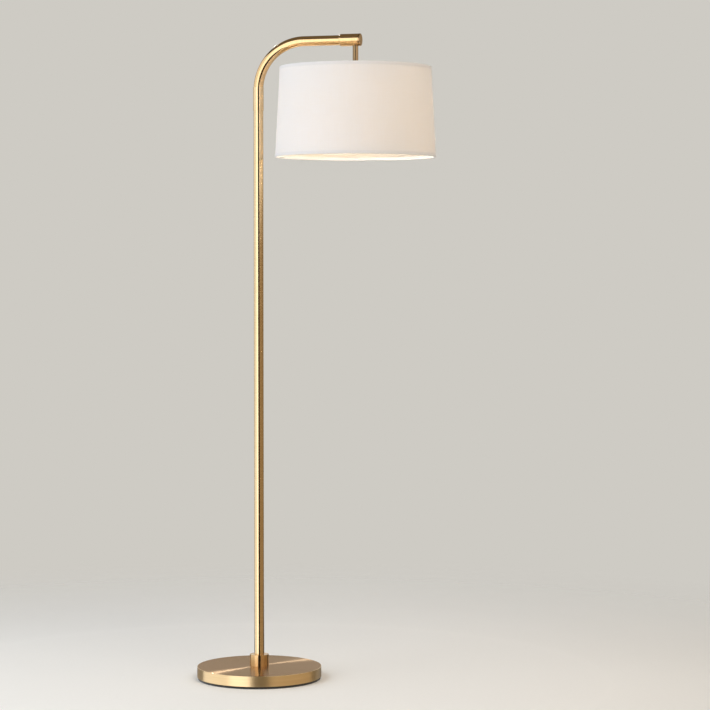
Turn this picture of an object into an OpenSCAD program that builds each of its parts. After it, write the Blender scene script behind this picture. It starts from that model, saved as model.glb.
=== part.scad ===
// Adjustable arm floor lamp. Millimetres, +Z up.
// The origin is where the pole's axis meets the floor. The arm points along +X.

/* [Base] */
// Diameter of the round base
base_d = 320; // [310:1:330]
// Height of the base's top face above the floor
base_h = 33; // [32:0.5:35]
// Thickness of the base cover's sheet
cover_t = 1.2; // [1:0.1:1.5]
// Diameter of the cast weight
weight_d = 300; // [240:5:302]
// Thickness of the cast weight
weight_t = 12; // [10:0.5:12]
// Thickness of the floor pad
pad_t = 6; // [5:0.5:6]
// Diameter of the hub that holds the pole
hub_d = 49.4; // [44:0.2:56]
// Height of the hub above the base's top face
hub_h = 30.4; // [28:0.2:36]

/* [Pole and arm] */
// Outside diameter of the pole and arm tube
tube_d = 25.4; // [25:0.1:25.8]
// Wall of the pole and arm tube
tube_t = 1.2; // [1:0.1:1.4]
// Height of the arm's axis above the floor
arm_z = 1634.7; // [1500:0.1:1700]
// Radius of the arm's bend, at its centre line
bend_r = 122; // [100:1:130]
// Outside diameter of the swivel collar
collar_d = 27.4; // [27:0.2:30]
// Length of the swivel collar
collar_h = 60; // [54:1:70]
// Greatest turn of the arm to each side
swivel_limit = 165; // [120:5:165]

/* [Knuckle and stem] */
// Outside diameter of the knuckle at the arm's end
knuckle_d = 31.2; // [30:0.2:36]
// Distance from the pole's axis to the knuckle's near end
knuckle_x = 218; // [210:1:220]
// Distance from the pole's axis to the stem's axis
stem_x = 258.2; // [256:0.1:262]
// Distance from the pole's axis to the far face of the end cap
arm_end_x = 272.4; // [272:0.1:277]
// Diameter of the stem
stem_d = 14.4; // [13:0.2:16]
// Greatest tilt of the shade to each side
tilt_limit = 45; // [20:5:60]

/* [Shade and light] */
// Outside diameter of the shade at its top
shade_top_d = 382.6; // [360:0.2:400]
// Outside diameter of the shade at its bottom
shade_bot_d = 406.4; // [380:0.2:420]
// Height of the shade
shade_h = 227; // [210:1:240]
// Drop from the arm's axis to the shade's top edge
shade_drop = 68.7; // [60:0.1:75]
// Diameter of the bulb
bulb_d = 60; // [56:1:64]

/* [Hidden] */
$fn = 96;

run_fit = 0.05;          // radial clearance of a turning fit
face_gap = 0.3;          // gap between faces that turn past each other
tube_r = tube_d / 2;
tube_in = tube_r - tube_t;
lead_r = 2.8;            // sheathed lead inside the tubes
nipple_r = 5;            // threaded lamp nipple
nipple_bore = 3.4;

// base, upwards from the floor
plate_t = 1.2;
cover_r = base_d / 2;
cover_under = base_h - cover_t;
weight_z = cover_under - weight_t;
washer_t = 1.5;
nut_h = 6;
recess_r = 22;           // recess under the weight for the nut
web_t = 4;               // what the recess leaves of the weight
inlet_z = pad_t + 7.4;
inlet_r = 5.5;
inlet_bore = 4;
lead_bend_r = 6;
nut_z = cover_under - web_t - washer_t - nut_h;
foot_z = base_h + 4;     // lower end of the pole, on the web inside the hub
foot_h = 20;

// swivel, where the arm's short leg stands on the pole
bend_z = arm_z - bend_r;
collar_top = bend_z + 8;
pole_top = bend_z - 31.7;
swivel_washer_t = 1.6;
leg_z = pole_top + swivel_washer_t + face_gap;
plug_h = 20;
neck_r = 7;
neck_bore = 4;
spring_z = leg_z + plug_h + face_gap;
spring_t = 1.6;
swivel_nut_h = 5;
neck_top = spring_z + spring_t + swivel_nut_h + 0.7;
pin_ring = 9.3;          // distance of the stop pin from the swivel's axis
pin_r = 1.2;

// pole sections
pole_cut_a = foot_z + (pole_top - foot_z) / 3;
pole_cut_b = foot_z + 2 * (pole_top - foot_z) / 3;
coupler_h = 50;

// knuckle, along the arm
tube_end_x = knuckle_x + 26;
slot_x = knuckle_x + 16;
slot_half = 2.15;
tilt_screw_r = 2;
shoulder_x = tube_end_x + 4;
cap_x = arm_end_x - 4.4;
cavity_r = 9;
nut_pocket_r = 7.8;
nut_seat_z = arm_z - 10;
knuckle_r = knuckle_d / 2;

// stem, socket and shade, downwards from the arm
shade_top_z = arm_z - shade_drop;
shade_bot_z = shade_top_z - shade_h;
stem_bot_z = shade_top_z - 17;
cap_h = 16;
body_top_z = stem_bot_z - cap_h;
flange_z = body_top_z - 30;
skirt_z = flange_z - 45;
fabric_t = 0.6;
liner_t = 0.5;
trim_t = 0.5;
trim_h = 8;
hem_w = 4.6;             // width of the folded hem that wraps the wire
wire_r = 1.4;
wire_inset = fabric_t + liner_t + 1.5;
spoke_r = 1.6;
fitter_in = 19.7;
fitter_out = 26;
fitter_t = 2;
knob_axis_z = body_top_z - 14;
knob_r = 8;
shaft_r = 2.2;
bulb_r = bulb_d / 2;
bulb_z = skirt_z - 47;   // centre of the bulb's round end
neck_z = skirt_z + 8;

gold = "#c79f63";
dark_gold = "#9c7440";
steel = "#9aa0a6";
brass = "#c2a14a";

// Helpers -------------------------------------------------------------------

// Points on an arc about (cx, cz), from angle a0 to a1
function arc(cx, cz, r, a0, a1, n = 6) =
  [for (i = [0:n]) let (a = a0 + (a1 - a0) * i / n) [cx + r * cos(a), cz + r * sin(a)]];

// Outside radius of the shade's fabric at height z
function shade_r(z) =
  shade_bot_d / 2 + (shade_top_d - shade_bot_d) / 2 * (z - shade_bot_z) / shade_h;

// An upright tube or ring
module ring(r_out, r_in, z0, z1) {
  translate([0, 0, z0]) difference() {
    cylinder(h = z1 - z0, r = r_out);
    translate([0, 0, -1]) cylinder(h = z1 - z0 + 2, r = r_in);
  }
}

// Places its children on the stem's axis
module on_stem() translate([stem_x, 0, 0]) children();

// Turns +Z to +X, on the arm's axis, so that z becomes the distance from the pole
module along_arm() translate([0, 0, arm_z]) rotate([0, 90, 0]) children();

// Turned part with small rounded edges at both ends
module turned(r_out, r_in, z0, z1, edge) {
  rotate_extrude() polygon(concat(
    [[r_in, z0]],
    arc(r_out - edge, z0 + edge, edge, -90, 0),
    arc(r_out - edge, z1 - edge, edge, 0, 90),
    [[r_in, z1]]
  ));
}

// A hexagon nut, measured across its flats
module hex_nut(across, r_in, z0, z1) {
  difference() {
    translate([0, 0, z0]) cylinder(h = z1 - z0, d = across / cos(30), $fn = 6);
    translate([0, 0, z0 - 1]) cylinder(h = z1 - z0 + 2, r = r_in);
  }
}

// A wall that follows the shade's cone, between two depths under the fabric's face
module shade_wall(z0, z1, from, to) {
  on_stem() rotate_extrude($fn = 128) polygon([
    [shade_r(z0) - to, z0], [shade_r(z0) - from, z0],
    [shade_r(z1) - from, z1], [shade_r(z1) - to, z1]
  ]);
}

// A trim folded over the shade's edge at z1; its bands reach back to z0
module shade_trim(z0, z1) {
  fold = z1 > z0 ? z1 - trim_t : z1 + trim_t;
  on_stem() rotate_extrude($fn = 128) polygon([
    [shade_r(z0), z0], [shade_r(z0) + trim_t, z0],
    [shade_r(z1) + trim_t, z1], [shade_r(z1) - hem_w, z1],
    [shade_r(z0) - hem_w, z0], [shade_r(z0) - hem_w + trim_t, z0],
    [shade_r(fold) - hem_w + trim_t, fold], [shade_r(fold), fold]
  ]);
}

// A wire hoop on the stem's axis
module hoop(r, z) on_stem() translate([0, 0, z]) rotate_extrude($fn = 128)
  translate([r, 0]) circle(r = wire_r, $fn = 24);

// One spoke, from the fitter ring up to the top hoop, and its two siblings
module spokes(r) {
  z0 = flange_z - fitter_t / 2;
  z1 = shade_top_z - trim_t - wire_r - 0.1;
  x0 = fitter_out - 2;
  x1 = shade_r(z1) - wire_inset;
  on_stem() for (turn = [90, 210, 330]) rotate([0, 0, turn]) translate([x0, 0, z0])
    rotate([0, atan2(x1 - x0, z1 - z0), 0]) cylinder(h = norm([x1 - x0, z1 - z0]), r = r, $fn = 24);
}

// Base ----------------------------------------------------------------------

// Spun cover: a flat top with a rounded rim and a straight skirt
module base_cover() color(gold) difference() {
  rotate_extrude($fn = 180) polygon(concat(
    [[nipple_r + 0.3, cover_under], [cover_r - cover_t, cover_under],
     [cover_r - cover_t, pad_t], [cover_r, pad_t]],
    arc(cover_r - 1, base_h - 1, 1, 0, 90),
    [[nipple_r + 0.3, base_h]]
  ));
  translate([0, cover_r + 2, inlet_z]) rotate([90, 0, 0]) cylinder(h = 8, r = inlet_r);
}

// Cast disc that keeps the lamp upright
module base_weight() color("#4b4b4d") difference() {
  ring(weight_d / 2, nipple_r + 0.4, weight_z, cover_under);
  translate([0, 0, weight_z - 1]) cylinder(h = weight_t - web_t + 1, r = recess_r);
}

// Thin sheet that closes the base from below
module base_plate() color(steel)
  ring(cover_r - cover_t - 0.4, 12, pad_t, pad_t + plate_t);

// Felt pad that the lamp stands on
module base_pad() color("#1d1c1b")
  ring(cover_r - 2, 12, 0, pad_t);

// Threaded tube that ties the weight, the cover, the hub and the pole together
module base_nipple() color(steel)
  ring(nipple_r, nipple_bore, nut_z - 0.5, foot_z + 14);

module base_washer() color(steel)
  ring(20, nipple_r, nut_z + nut_h, nut_z + nut_h + washer_t);

module base_nut() color(steel)
  hex_nut(16, nipple_r, nut_z, nut_z + nut_h);

// Flanged bush in the skirt, where a cord comes in
module cord_inlet() color("#161616")
  translate([0, cover_r, inlet_z]) rotate([90, 0, 0]) difference() {
    union() {
      translate([0, 0, -1.6]) cylinder(h = 1.5, r = inlet_r + 1.5);
      translate([0, 0, -0.2]) cylinder(h = 6, r = inlet_r);
    }
    translate([0, 0, -3]) cylinder(h = 12, r = inlet_bore);
  }

// Turned hub with a socket for the pole and a web that the nipple clamps
module hub_collar() color(gold) difference() {
  turned(hub_d / 2, nipple_r, base_h, base_h + hub_h, 0.8);
  translate([0, 0, foot_z]) cylinder(h = hub_h, r = tube_r);
}

// Pole ----------------------------------------------------------------------

module pole_foot() color(steel) ring(tube_in, nipple_r, foot_z, foot_z + foot_h);

module pole_section(z0, z1) color(gold) ring(tube_r, tube_in, z0, z1);

module pole_lower() pole_section(foot_z, pole_cut_a);
module pole_middle() pole_section(pole_cut_a, pole_cut_b);
module pole_upper() pole_section(pole_cut_b, pole_top);

// Threaded insert that joins two pole sections
module pole_coupler(z) color(steel) ring(tube_in, 8, z - coupler_h / 2, z + coupler_h / 2);

module pole_coupler_lower() pole_coupler(pole_cut_a);
module pole_coupler_upper() pole_coupler(pole_cut_b);

// Lead from the inlet to the nipple, and up the pole to the swivel
module lead_pole() color("#202020") {
  corner = lead_bend_r;
  rise = inlet_z + corner;
  translate([0, corner, inlet_z]) rotate([-90, 0, 0]) cylinder(h = cover_r - 30 - corner, r = lead_r);
  translate([0, corner, rise]) rotate([180, 90, 0]) rotate_extrude(angle = 90)
    translate([corner, 0]) circle(r = lead_r);
  translate([0, 0, rise]) cylinder(h = neck_top + 0.5 - rise, r = lead_r);
}

// Swivel --------------------------------------------------------------------

// Plug in the pole's top with a hollow neck that the arm turns on
module swivel_spindle() color(steel) difference() {
  union() {
    translate([0, 0, pole_top - 24]) cylinder(h = 24, r = tube_in);
    translate([0, 0, pole_top - 1]) cylinder(h = neck_top - pole_top + 1, r = neck_r);
  }
  translate([0, 0, pole_top - 30]) cylinder(h = 80, r = neck_bore);
  translate([pin_ring, 0, pole_top - 8]) cylinder(h = 20, r = pin_r);
}

// Thrust washer between the pole and the arm's leg
module swivel_washer() color("white") difference() {
  ring(tube_r - 0.2, neck_r, pole_top, pole_top + swivel_washer_t);
  translate([pin_ring, 0, pole_top - 1]) cylinder(h = 4, r = pin_r);
}

module swivel_spring() color(steel)
  ring(10.2, neck_r, spring_z, spring_z + spring_t);

module swivel_nut() color(steel)
  hex_nut(17.6, neck_r, spring_z + spring_t, spring_z + spring_t + swivel_nut_h);

// Pin that stops the arm at the end of its groove
module swivel_stop_pin() color(steel)
  translate([pin_ring, 0, pole_top - 8]) cylinder(h = 8 + swivel_washer_t + face_gap + 2, r = pin_r);

// Outer collar, fixed to the arm's leg and turning round the pole's top
module swivel_collar() color(gold) difference() {
  turned(collar_d / 2, tube_r, collar_top - collar_h, collar_top, 0.4);
  translate([0, 0, collar_top - collar_h - 1])
    cylinder(h = leg_z - (collar_top - collar_h) + 1, r = tube_r + run_fit);
  translate([0, 0, bend_z]) cylinder(h = 20, r = tube_r + 0.4);
  translate([0, 0, leg_z + 20]) rotate([-90, 0, 0]) cylinder(h = 20, r = 1.5);
}

module collar_screw() color(steel)
  translate([0, tube_r, leg_z + 20]) rotate([-90, 0, 0]) cylinder(h = 1.5, r = 1.5);

// Plug in the arm's leg. A lug in its groove meets the stop pin at each end of the turn
module arm_plug() color(brass) difference() {
  ring(tube_in, neck_r + run_fit, leg_z, leg_z + plug_h);
  difference() {
    ring(pin_ring + pin_r + 0.2, pin_ring - pin_r - 0.2, leg_z - 1, leg_z + 2.6);
    stop_lug();
  }
}

// The stop lug fills what the pin's travel leaves of the groove
module stop_lug() {
  free = 2 * pin_ring * sin((180 - swivel_limit) / 2) - pin_r - 0.25;
  translate([-pin_ring - 3, -free, leg_z - 2]) cube([6, 2 * free, 6]);
}

// Arm -----------------------------------------------------------------------

module arm_tube() color(gold) difference() {
  union() {
    ring(tube_r, tube_in, leg_z, bend_z);
    elbow(tube_r, tube_in);
    along_arm() ring(tube_r, tube_in, bend_r, tube_end_x);
  }
  tilt_slot();
}

// The arm's quarter bend, as a tube or as a solid rod
module elbow(r_out, r_in) {
  translate([bend_r, 0, bend_z]) rotate([90, 0, 180]) rotate_extrude(angle = 90)
    translate([bend_r, 0]) difference() {
      circle(r = r_out);
      if (r_in > 0) circle(r = r_in);
    }
}

// Slot in the arm's end that limits the tilt: a sector about the arm's axis, centred on +Y
module tilt_slot() {
  half = tilt_limit + asin((tilt_screw_r + 0.15) / tube_r);
  reach = 2 * tube_r;
  along_arm() translate([0, 0, slot_x - slot_half]) linear_extrude(2 * slot_half)
    polygon([[0, 0], [reach * sin(half), reach * cos(half)], [0, 2 * reach],
             [-reach * sin(half), reach * cos(half)]]);
}

// Brass bush that stiffens the arm's open end
module arm_end_bush() color(brass) along_arm()
  ring(tube_in, 8, tube_end_x - 22, tube_end_x);

// Lead from the swivel, round the bend and along the arm
module lead_arm() color("#202020") {
  translate([0, 0, neck_top + 1.2]) cylinder(h = bend_z - neck_top - 1.2, r = lead_r);
  elbow(lead_r, 0);
  along_arm() translate([0, 0, bend_r]) cylinder(h = tube_end_x - bend_r - 0.5, r = lead_r);
}

// Knuckle -------------------------------------------------------------------

// Sleeve that turns on the arm's end and carries the stem
module knuckle_sleeve() color(gold) difference() {
  along_arm() rotate_extrude() polygon([
    [tube_r + run_fit, knuckle_x], [tube_r + 1.2, knuckle_x], [knuckle_r, knuckle_x + 2.2],
    [knuckle_r, cap_x], [cavity_r, cap_x], [cavity_r, shoulder_x], [tube_r + run_fit, shoulder_x]
  ]);
  on_stem() translate([0, 0, arm_z - 30]) cylinder(h = 30, r = nipple_r);
  on_stem() translate([0, 0, nut_seat_z]) cylinder(h = 12, r = nut_pocket_r);
  on_stem() translate([0, 0, arm_z - 30]) cylinder(h = 30 - knuckle_r + 1.2, r = stem_d / 2);
  translate([slot_x, 0, arm_z]) rotate([-90, 0, 0]) cylinder(h = 30, r = tilt_screw_r);
}

// Screwed cap that closes the knuckle
module knuckle_end_cap() color(dark_gold) along_arm() rotate_extrude() polygon(concat(
  [[0, cap_x - 1.2], [cavity_r, cap_x - 1.2], [cavity_r, cap_x], [knuckle_r, cap_x]],
  arc(knuckle_r - 0.8, arm_end_x - 0.8, 0.8, 0, 90),
  [[0, arm_end_x]]
));

// Screw through the sleeve whose tip runs in the arm's slot
module tilt_screw() color(steel)
  translate([slot_x, tube_in + 0.1, arm_z]) rotate([-90, 0, 0])
    cylinder(h = knuckle_r + 0.5 - tube_in, r = tilt_screw_r);

module tilt_spring() color(steel) along_arm()
  ring(tube_r - 0.2, cavity_r, tube_end_x + face_gap, tube_end_x + 2);

module tilt_washer() color("white") along_arm()
  ring(tube_r - 0.1, cavity_r, tube_end_x + 2, shoulder_x);

// Stem ----------------------------------------------------------------------

module stem_nipple() color(brass) on_stem()
  ring(nipple_r, nipple_bore, arm_z - 32, nut_seat_z + 4.5);

module stem_nut() color(brass) on_stem()
  hex_nut(12.6, nipple_r, nut_seat_z, nut_seat_z + 3.5);

// Drop tube between the knuckle and the socket
module stem_tube() color(gold) on_stem()
  ring(stem_d / 2, nipple_r, stem_bot_z, arm_z - knuckle_r + 1.2);

// Lead down the stem, from the arm's end to the socket
module lead_head() color("#202020") {
  corner = 6;
  start = tube_end_x + 0.5;
  along_arm() translate([0, 0, start]) cylinder(h = stem_x - corner - start, r = lead_r);
  translate([stem_x - corner, 0, arm_z - corner]) rotate([90, 0, 0]) rotate_extrude(angle = 90)
    translate([corner, 0]) circle(r = lead_r);
  on_stem() translate([0, 0, body_top_z - 8])
    cylinder(h = arm_z - corner - body_top_z + 8, r = lead_r);
}

// Socket --------------------------------------------------------------------

module socket_nipple() color(brass) on_stem()
  ring(nipple_r, nipple_bore, stem_bot_z - 6, stem_bot_z + 10);

// Domed cap over the socket
module socket_cap() color(gold) on_stem() rotate_extrude() polygon([
  [nipple_r, stem_bot_z], [9, stem_bot_z], [15, stem_bot_z - 3.5], [18.5, stem_bot_z - 9],
  [18.5, body_top_z], [17.3, body_top_z], [17.3, stem_bot_z - 8.6], [14.2, stem_bot_z - 4.6],
  [9, stem_bot_z - 1.8], [nipple_r, stem_bot_z - 1.8]
]);

// Moulded socket: a switch chamber, a flange that seats the shade, and a skirt round the bulb's cap
module socket_body() color("#1b1b1b") difference() {
  on_stem() rotate_extrude() polygon([
    [15.5, body_top_z], [18.5, body_top_z], [18.5, flange_z + 3], [22, flange_z + 3], [22, flange_z],
    [19.5, flange_z], [19.5, skirt_z], [14.6, skirt_z], [14.6, flange_z - 8], [4.5, flange_z - 8],
    [4.5, flange_z], [15.5, flange_z]
  ]);
  translate([stem_x, 0, knob_axis_z]) rotate([90, 0, 0]) cylinder(h = 30, r = shaft_r + run_fit);
}

module socket_screw_shell() color(brass) on_stem()
  ring(14.2, 13.5, skirt_z + 8, flange_z - 8);

// Centre contact, on a stud through the socket's web
module socket_contact() color(brass) on_stem() {
  translate([0, 0, flange_z - 10]) cylinder(h = 2, r = 4.4);
  translate([0, 0, flange_z - 8.5]) cylinder(h = 6.5, r = 2);
}

// Ring nut that clamps the shade's fitter against the flange
module shade_ring_nut() color("#1b1b1b") on_stem() difference() {
  ring(25, 19.5, flange_z - fitter_t - 8, flange_z - fitter_t);
  for (turn = [0:30:330]) rotate([0, 0, turn]) translate([25.6, 0, flange_z - fitter_t - 9])
    cylinder(h = 10, r = 1.5, $fn = 24);
}

// Shade ---------------------------------------------------------------------

// Welded frame: fitter ring, three spokes and the top hoop
module shade_frame() color("white") {
  z = shade_top_z - trim_t - wire_r - 0.1;
  on_stem() ring(fitter_out, fitter_in, flange_z - fitter_t, flange_z);
  spokes(spoke_r);
  hoop(shade_r(z) - wire_inset, z);
}

module shade_bottom_wire() color("white") {
  z = shade_bot_z + trim_t + wire_r + 0.1;
  hoop(shade_r(z) - wire_inset, z);
}

module shade_fabric() color("#f4f0ea")
  shade_wall(shade_bot_z + trim_t, shade_top_z - trim_t, 0, fabric_t);

module shade_liner() color("#fbf7f0")
  shade_wall(shade_bot_z + trim_t, shade_top_z - trim_t, fabric_t, fabric_t + liner_t);

// The top trim is slit where the spokes pass
module shade_top_trim() color("#f4f0ea") difference() {
  shade_trim(shade_top_z - trim_h, shade_top_z);
  spokes(spoke_r + 0.3);
}

module shade_bottom_trim() color("#f4f0ea")
  shade_trim(shade_bot_z + trim_h, shade_bot_z);

// Bulb ----------------------------------------------------------------------

// Outline of a household bulb: a half round, and a neck that narrows on a cosine
function bulb_outline(inset) = concat(
  arc(0, bulb_z, bulb_r - inset, -90, 0, 16),
  [for (i = [1:14])
    let (t = i / 14, neck = 12.6 - inset, belly = bulb_r - inset)
    [neck + (belly - neck) * (1 + cos(180 * t)) / 2, bulb_z + (neck_z - bulb_z) * t]],
  [[0, neck_z]]
);

module bulb_glass() color("#fffdf5") on_stem() rotate_extrude() difference() {
  polygon(bulb_outline(0));
  polygon(bulb_outline(1));
}

// Screw cap of the bulb, with its contact tip
module bulb_cap() color("#b9bcc0") on_stem() {
  ring(13.2, 12.7, neck_z - 2, skirt_z + 28);
  translate([0, 0, skirt_z + 28]) cylinder(h = 4, r1 = 13.2, r2 = 5);
  translate([0, 0, skirt_z + 32]) cylinder(h = flange_z - 10.2 - skirt_z - 32, r = 4);
}

// Switch --------------------------------------------------------------------

module switch_shaft() color(brass) translate([stem_x, -8, knob_axis_z]) rotate([90, 0, 0])
  cylinder(h = 18, r = shaft_r);

// Fluted turn knob
module switch_knob() color("#1b1b1b") translate([stem_x, -26, knob_axis_z]) rotate([90, 0, 0])
  difference() {
    cylinder(h = 12, r = knob_r);
    for (turn = [0:30:330]) rotate([0, 0, turn]) translate([knob_r + 0.5, 0, -1])
      cylinder(h = 14, r = 1.1, $fn = 24);
  }

base_cover();
base_weight();
base_plate();
base_pad();
base_nipple();
base_washer();
base_nut();
cord_inlet();
hub_collar();
pole_foot();
pole_lower();
pole_middle();
pole_upper();
pole_coupler_lower();
pole_coupler_upper();
lead_pole();
swivel_spindle();
swivel_washer();
swivel_spring();
swivel_nut();
swivel_stop_pin();
swivel_collar();
collar_screw();
arm_plug();
arm_tube();
arm_end_bush();
lead_arm();
knuckle_sleeve();
knuckle_end_cap();
tilt_screw();
tilt_spring();
tilt_washer();
stem_nipple();
stem_nut();
stem_tube();
lead_head();
socket_nipple();
socket_cap();
socket_body();
socket_screw_shell();
socket_contact();
shade_ring_nut();
shade_frame();
shade_bottom_wire();
shade_fabric();
shade_liner();
shade_top_trim();
shade_bottom_trim();
bulb_glass();
bulb_cap();
switch_shaft();
switch_knob();
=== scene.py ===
"""Arm floor lamp with a drum shade: the finished surfaces that go over the lamp's solids.

Everything is in metres, +Z up. The pole's axis meets the floor at the origin and the arm points along +X.
"""
import math

import bpy
import numpy as np
from bpy.props import FloatProperty, FloatVectorProperty, IntProperty, PointerProperty
from mathutils import Euler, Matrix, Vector


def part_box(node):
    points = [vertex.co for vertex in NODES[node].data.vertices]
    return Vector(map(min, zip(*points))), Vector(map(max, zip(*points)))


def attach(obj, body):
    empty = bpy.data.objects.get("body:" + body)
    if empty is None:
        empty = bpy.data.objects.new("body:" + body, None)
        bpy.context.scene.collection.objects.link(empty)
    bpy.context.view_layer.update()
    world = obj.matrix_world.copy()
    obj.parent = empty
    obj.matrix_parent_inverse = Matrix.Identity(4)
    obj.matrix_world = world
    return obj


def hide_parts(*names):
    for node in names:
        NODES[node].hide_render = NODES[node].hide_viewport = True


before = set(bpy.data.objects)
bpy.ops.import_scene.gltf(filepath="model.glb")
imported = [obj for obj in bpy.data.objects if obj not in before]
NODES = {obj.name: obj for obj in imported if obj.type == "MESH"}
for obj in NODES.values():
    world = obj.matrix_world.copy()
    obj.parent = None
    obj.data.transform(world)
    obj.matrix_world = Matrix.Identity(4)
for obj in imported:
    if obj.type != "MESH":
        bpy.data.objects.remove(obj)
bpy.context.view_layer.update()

bl_info = {
    "name": "Arm floor lamp",
    "version": (1, 0, 0),
    "blender": (4, 5, 0),
    "location": "3D View > Sidebar > Lamp",
    "description": "Builds the lamp's brushed gold tubes, spun base, linen shade, socket, bulb and studio",
    "category": "Add Mesh",
}

MM = 0.001
SKIN = "skin"  # the UV map: u is round the piece and v is along it, both in metres


# Places from the frame -------------------------------------------------------

def low(node):
    """Lowest corner of a solid."""
    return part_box(node)[0]


def high(node):
    """Highest corner of a solid."""
    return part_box(node)[1]


def middle(node):
    """Centre of a solid's box."""
    return (low(node) + high(node)) / 2


CAMERA_AT, CAMERA_LENS = (1.8806, -5.6624, 1.0728), 117.77
CAMERA_DROP = 2.28  # degrees that the camera looks down
CAMERA_TURN = 16  # degrees from the -Y direction to the camera's, seen from above
STEM_X = middle("stem_tube").x
ARM_Z = middle("knuckle_sleeve").z
TUBE_R = high("pole_lower").x
TUBE_BORE = high("pole_foot").x
BEND_R = 122 * MM
NIPPLE_R = 5 * MM
WIRE_R, SPOKE_R = 1.4 * MM, 1.6 * MM
COVER_R = high("base_cover").x


# Outlines --------------------------------------------------------------------

def rounded(corners, radii=0.3 * MM, steps=5, closed=True):
    """Outline with its corners turned into arcs. An arc starts and ends radius / tan(half the corner's angle)
    from the corner, on its two edges, and one more point beside each end keeps the faces next to it flat."""
    points = np.asarray(corners, float)
    count = len(points)
    radii = np.broadcast_to(np.asarray(radii, float), count)
    made = []
    for k in range(count):
        corner, radius = points[k], radii[k]
        if radius <= 0 or (not closed and k in (0, count - 1)):
            made.append(corner[None])
            continue
        a, b = points[k - 1] - corner, points[(k + 1) % count] - corner
        long_a, long_b = np.linalg.norm(a), np.linalg.norm(b)
        a, b = a / long_a, b / long_b
        half = math.acos(float(np.clip(a @ b, -1, 1))) / 2
        if half > 1.55:
            made.append(corner[None])
            continue
        reach = min(radius / math.tan(half), 0.42 * long_a, 0.42 * long_b)
        centre = corner + (a + b) / np.linalg.norm(a + b) * reach / math.cos(half)
        u, w = corner + a * reach - centre, corner + b * reach - centre
        t = np.linspace(0, math.atan2(u[0] * w[1] - u[1] * w[0], u @ w), steps + 1)[:, None]
        arc = centre + np.hstack([u[0] * np.cos(t) - u[1] * np.sin(t), u[0] * np.sin(t) + u[1] * np.cos(t)])
        beside = 0.12 * reach
        made += [(corner + a * (reach + beside))[None], arc, (corner + b * (reach + beside))[None]]
    return np.concatenate(made)


def divided(outline, longest, closed=True):
    """Outline with every edge cut into equal parts no longer than the longest."""
    following = np.roll(outline, -1, axis=0) if closed else outline[1:]
    starts = outline if closed else outline[:-1]
    counts = np.ceil(np.linalg.norm(following - starts, axis=1) / longest).clip(1).astype(int)
    parts = [a + (b - a) * np.arange(n)[:, None] / n for a, b, n in zip(starts, following, counts)]
    return np.concatenate(parts + ([] if closed else [outline[-1:]]))


def wall(s0, s1, inside, outside):
    """Corners of a plain tube's wall: r from inside to outside, s from s0 to s1."""
    return [(inside, s0), (outside, s0), (outside, s1), (inside, s1)]


# Lines that outlines are carried along ---------------------------------------

def line(origin, along, first, second):
    """Straight line: s is the length along it from its origin, and a and b are square to it."""
    origin, along, first, second = (np.asarray(v, float) for v in (origin, along, first, second))
    def place(s):
        return origin + s[:, None] * along, np.tile(first, (len(s), 1)), np.tile(second, (len(s), 1))
    return place


def upright(x=0.0, y=0.0):
    """Upright line at (x, y): s is the height, and a and b point along X and Y."""
    return line((x, y, 0), (0, 0, 1), (1, 0, 0), (0, 1, 0))


def along_x(z=0.0):
    """Level line along +X at height z: s is x, and a and b point along Y and Z."""
    return line((0, 0, z), (1, 0, 0), (0, 1, 0), (0, 0, 1))


def along_y(x, z):
    """Level line along +Y through (x, z): s is y, and a and b point along Z and X."""
    return line((x, 0, z), (0, 1, 0), (0, 0, 1), (1, 0, 0))


def arm_line(leg_z, bend_z, bend_r):
    """The arm's centre line. s is the length from the leg's lower end: up to bend_z, round a quarter circle of
    radius bend_r, then level along +X. a points to the inside of the bend and b along Y."""
    def place(s):
        rise = bend_z - leg_z
        turn = np.clip((s - rise) / bend_r, 0, math.pi / 2)
        beyond = np.maximum(s - rise - bend_r * math.pi / 2, 0)
        zero = np.zeros_like(s)
        across = bend_r * (1 - np.cos(turn)) + beyond
        up = leg_z + np.minimum(s, rise) + bend_r * np.sin(turn)
        inward = np.stack([np.cos(turn), zero, -np.sin(turn)], 1)
        return np.stack([across, zero, up], 1), inward, np.stack([zero, zero + 1, zero], 1)
    return place


def straight(start, end):
    """Straight line between two points: s runs from 0 to its length, with a and b square to it."""
    start, end = np.asarray(start, float), np.asarray(end, float)
    axis = (end - start) / np.linalg.norm(end - start)
    side = np.cross([0, 0, 1.0], axis)
    side /= np.linalg.norm(side)
    return line(start, axis, side, np.cross(axis, side))


# Surfaces --------------------------------------------------------------------

def carried(outline, place, around=96, closed=True, shape=None):
    """Surface of an outline carried round a line. An outline point (r, s) at turn t lies at
    line(s) + r (a cos t + b sin t). shape(r, s, t), where given, returns the changed r.
    v is the length along the outline, and u is t times the outline's greatest r."""
    r, s = outline[:, 0], outline[:, 1]
    t = np.arange(around) * 2 * math.pi / around
    reach = r[:, None] + np.zeros(around)
    if shape is not None:
        reach = shape(reach, s[:, None], t[None, :])
    centre, a, b = place(s)
    points = centre[:, None] + reach[..., None] * (
        a[:, None] * np.cos(t)[None, :, None] + b[:, None] * np.sin(t)[None, :, None]
    )
    steps = np.diff(outline, axis=0, append=outline[:1])
    v = np.concatenate([[0], np.cumsum(np.linalg.norm(steps, axis=1))])
    u = np.arange(around + 1) * 2 * math.pi * r.max() / around
    return points, closed, u, v


def hoop(radius, z, thick, x=STEM_X, around=128, ring=16):
    """Round wire bent into a level ring: a circle of radius thick carried round an upright line."""
    t = np.arange(ring) * 2 * math.pi / ring
    return carried(np.stack([radius + thick * np.cos(t), z + thick * np.sin(t)], 1), upright(x), around)


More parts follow.
